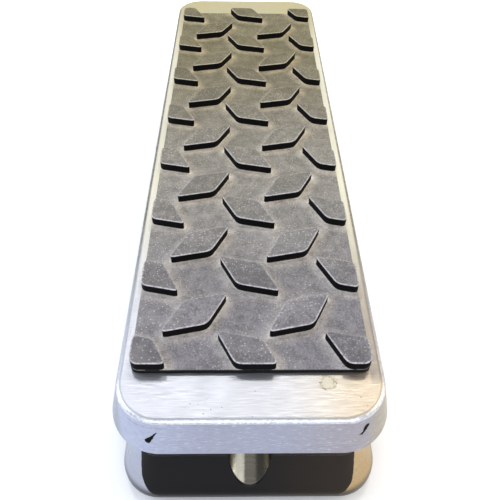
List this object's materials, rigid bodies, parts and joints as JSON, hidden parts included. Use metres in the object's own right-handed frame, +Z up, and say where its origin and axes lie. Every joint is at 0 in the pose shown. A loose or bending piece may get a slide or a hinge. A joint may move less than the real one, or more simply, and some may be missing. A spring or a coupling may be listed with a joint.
{
  "type": "guitar rocker pedal",
  "caption": "Long aluminium rocker pedal with a rubber tread of slanted blocks, on a flared base with a jack socket in each side.",
  "frame": {"origin": "on the floor, under the middle of the pedal", "axes": "+Z up, +Y from the heel end to the toe end, +X to the right seen from the heel end"},
  "size_m": [0.101, 0.2996, 0.0678],
  "materials": {
    "cast_aluminium": "brushed and polished, worn",
    "tread_rubber": "matte, dusty",
    "bumper_rubber": "matte",
    "bright_steel": "satin",
    "plate_steel": "zinc plated, satin",
    "nylon": "matte",
    "black_steel": "black oxide",
    "pot_can": "satin",
    "brass": "satin",
    "jack_plastic": "satin",
    "zinc_plate": "bright plated",
    "red_insulation": "satin",
    "white_insulation": "satin",
    "black_insulation": "satin"
  },
  "bodies": {
    "base": {"base_housing": "cast_aluminium", "pivot_bushings": "nylon", "stop_bumpers": "bumper_rubber", "bottom_plate": "plate_steel", "plate_screws": "zinc_plate", "rubber_feet": "bumper_rubber", "feet_screws": "zinc_plate", "feet_nuts": "zinc_plate", "pot_bracket": "plate_steel", "bracket_screws": "zinc_plate", "bracket_nuts": "zinc_plate", "pot_body": "pot_can", "pot_bush": "brass", "pot_washer": "zinc_plate", "pot_nut": "zinc_plate", "pot_lugs": "brass", "input_jack": "jack_plastic", "input_jack_sleeve": "zinc_plate", "output_jack": "jack_plastic", "output_jack_sleeve": "zinc_plate", "jack_washers": "zinc_plate", "jack_nuts": "zinc_plate", "jack_contacts": "brass", "input_wire": "red_insulation", "output_wire": "white_insulation", "ground_wire": "black_insulation"},
    "rocker": {"treadle": "cast_aluminium", "tread_pad": "tread_rubber", "pivot_shaft": "bright_steel", "shaft_set_screws": "black_steel", "sector_gear": "bright_steel", "sector_screws": "zinc_plate"},
    "volume_shaft": {"pot_shaft": "bright_steel", "pinion": "brass", "pinion_set_screw": "black_steel"}
  },
  "joints": [
    {"name": "rocker_pivot", "type": "hinge", "parent": "base", "child": "rocker", "pos_m": [0, 0, 0.049], "axis": [-1, 0, 0], "range_deg": [-7, 7]},
    {"name": "volume_turn", "type": "hinge", "parent": "base", "child": "volume_shaft", "pos_m": [0, 0.09454, 0.03233], "axis": [-1, 0, 0], "range_deg": [-106, 106]}
  ],
  "couplings": [
    {"joint": "volume_turn", "follows": "rocker_pivot", "ratio": -15}
  ]
}
